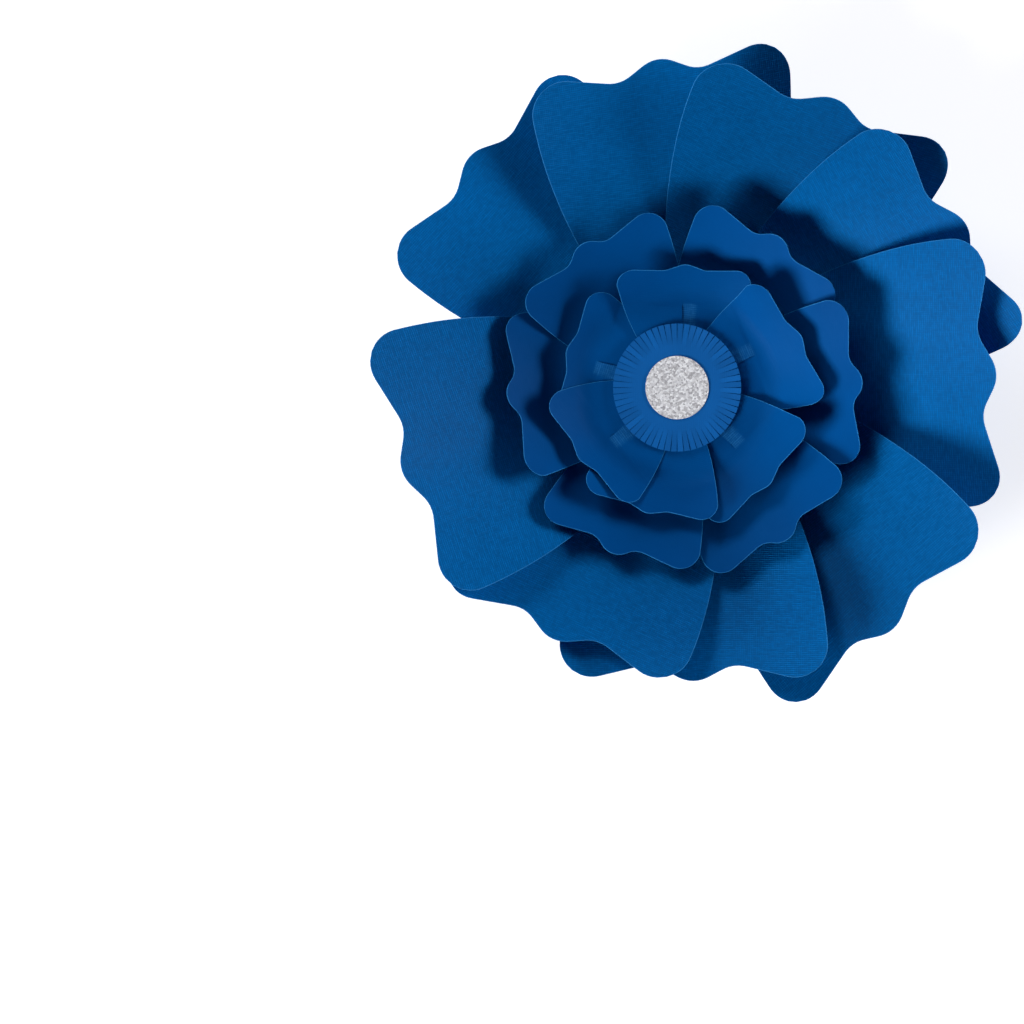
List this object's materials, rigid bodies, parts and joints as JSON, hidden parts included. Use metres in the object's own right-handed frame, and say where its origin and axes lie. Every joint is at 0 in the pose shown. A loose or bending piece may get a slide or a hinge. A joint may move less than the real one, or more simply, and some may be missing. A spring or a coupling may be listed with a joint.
{
  "type": "giant paper flower",
  "caption": "Layered open flower of wide wavy-edged card petals in nested rings, cupped by lapped slits, with a fringed disc and a glittering round centre.",
  "frame": {"origin": "middle of the base disc's back face, on which the flower lies", "axes": "+Z out of the flower's face, +Y towards the top and +X towards the right as one looks at the face"},
  "size_m": [0.4195, 0.4232, 0.0936],
  "materials": {
    "base_card": "matte",
    "outer_card": "matte",
    "middle_card": "matte",
    "inner_card": "matte",
    "fringe_card": "matte",
    "glitter_card": "satin"
  },
  "bodies": {
    "root": {"base_disc": "base_card", "fringed_disc": "fringe_card", "glitter_disc": "glitter_card", "outer_petal_1": "outer_card", "outer_petal_2": "outer_card", "outer_petal_3": "outer_card", "outer_petal_4": "outer_card", "outer_petal_5": "outer_card", "outer_petal_6": "outer_card", "outer_petal_7": "outer_card", "outer_petal_8": "outer_card", "outer_petal_9": "outer_card", "middle_petal_1": "middle_card", "middle_petal_2": "middle_card", "middle_petal_3": "middle_card", "middle_petal_4": "middle_card", "middle_petal_5": "middle_card", "middle_petal_6": "middle_card", "inner_petal_1": "inner_card", "inner_petal_2": "inner_card", "inner_petal_3": "inner_card", "inner_petal_4": "inner_card", "inner_petal_5": "inner_card", "inner_petal_6": "inner_card"}
  },
  "joints": []
}
